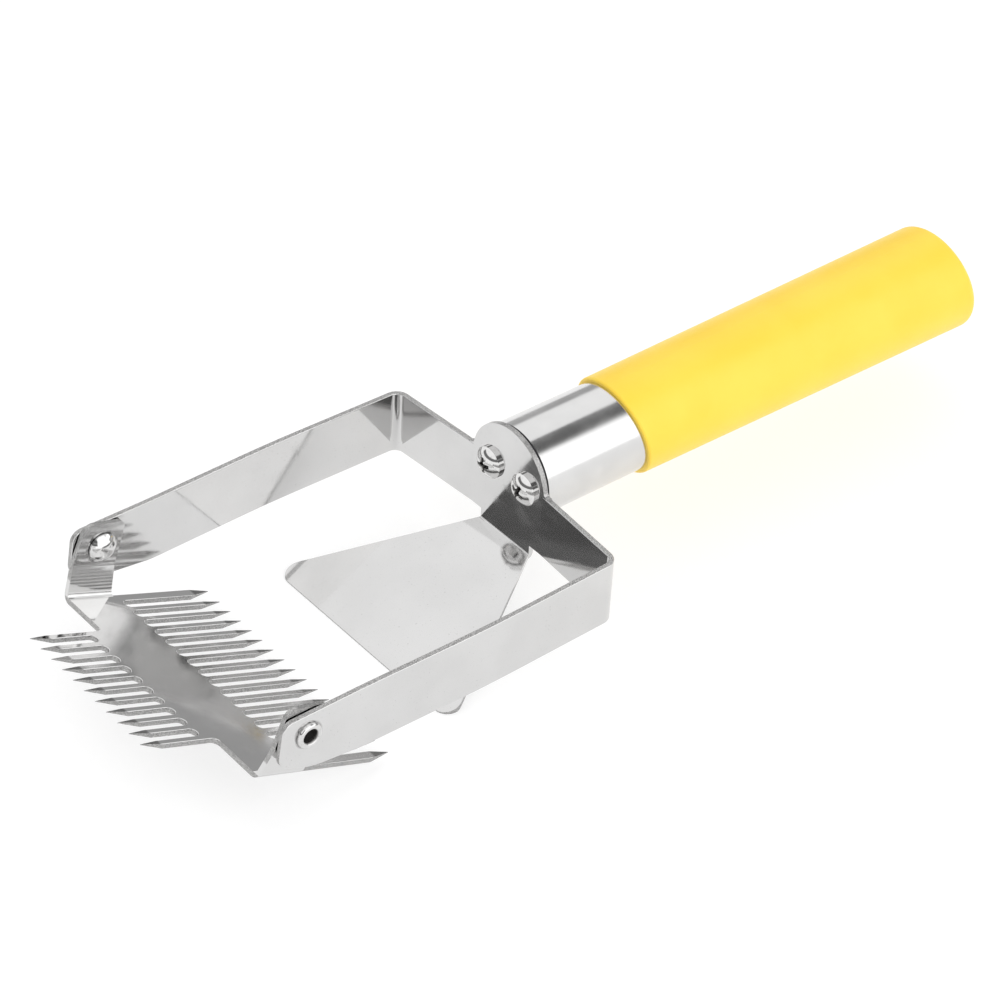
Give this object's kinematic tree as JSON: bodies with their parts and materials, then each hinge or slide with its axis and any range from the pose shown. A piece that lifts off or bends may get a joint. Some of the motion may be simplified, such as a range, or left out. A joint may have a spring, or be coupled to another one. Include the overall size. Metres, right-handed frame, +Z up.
{
  "type": "uncapping fork",
  "caption": "Beekeeper's uncapping fork: a two-row needle comb pivots between the arms of a bent steel frame with a scraper blade, on a round plastic grip.",
  "frame": {"origin": "centre of the slanted flat face at the end of the grip, on the grip's axis", "axes": "+X along the grip's axis, out of its end and away from the comb; +Z up, with the screw tab above and the scraper blade below the frame; Y across the comb"},
  "size_m": [0.3047, 0.096, 0.0518],
  "materials": {
    "polished_steel": "mirror-polished stainless sheet with dull cut edges",
    "comb_steel": "polished stainless sheet with ground needle points",
    "rivet_steel": "polished tubular rivet",
    "screw_steel": "bright plated",
    "ferrule_steel": "fine polished tube",
    "core_plastic": "moulded",
    "yellow_plastic": "smooth satin moulding"
  },
  "bodies": {
    "frame": {"frame_strap": "polished_steel", "rivet_left": "rivet_steel", "rivet_right": "rivet_steel", "screw_left": "screw_steel", "screw_right": "screw_steel", "ferrule": "ferrule_steel", "handle_core": "core_plastic", "grip": "yellow_plastic"},
    "comb": {"comb": "comb_steel"}
  },
  "joints": [
    {"name": "comb_pivot", "type": "hinge", "parent": "frame", "child": "comb", "pos_m": [-0.2667, 0, -0.0048], "axis": [0, 1, 0], "continuous": true}
  ]
}
